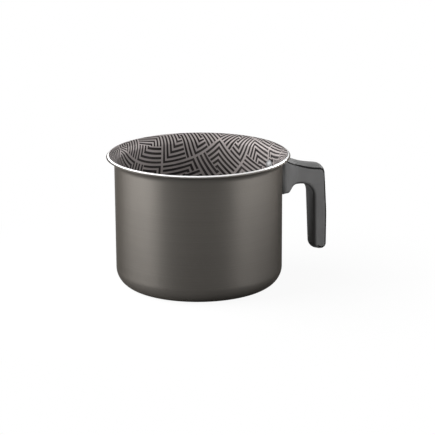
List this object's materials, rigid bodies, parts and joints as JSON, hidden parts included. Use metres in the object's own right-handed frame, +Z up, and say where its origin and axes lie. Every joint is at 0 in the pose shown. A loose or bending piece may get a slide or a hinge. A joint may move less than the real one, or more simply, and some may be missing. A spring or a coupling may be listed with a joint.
{
  "type": "milk boiler",
  "caption": "Deep round aluminium milk boiler with a flared pouring lip, rounded base, printed inner coat and a down-hooked moulded side handle.",
  "frame": {"origin": "centre of the flat base, on the plane it stands on", "axes": "+Z up along the pot's axis, +X from the axis out through the handle, -Y the side seen from the front"},
  "size_m": [0.1932, 0.157, 0.1144],
  "materials": {
    "outer_coat": "satin metallic graphite enamel",
    "inner_coat": "satin non-stick coat with a printed stripe pattern",
    "bare_aluminium": "turned, bright",
    "phenolic": "satin moulded phenolic",
    "bracket_steel": "pressed, plated",
    "rivet_aluminium": "formed, satin",
    "screw_steel": "plated"
  },
  "bodies": {
    "root": {"pot_body": "outer_coat", "handle": "phenolic", "handle_bracket": "bracket_steel", "rivet_front": "rivet_aluminium", "rivet_rear": "rivet_aluminium", "handle_screw": "screw_steel"}
  },
  "joints": []
}
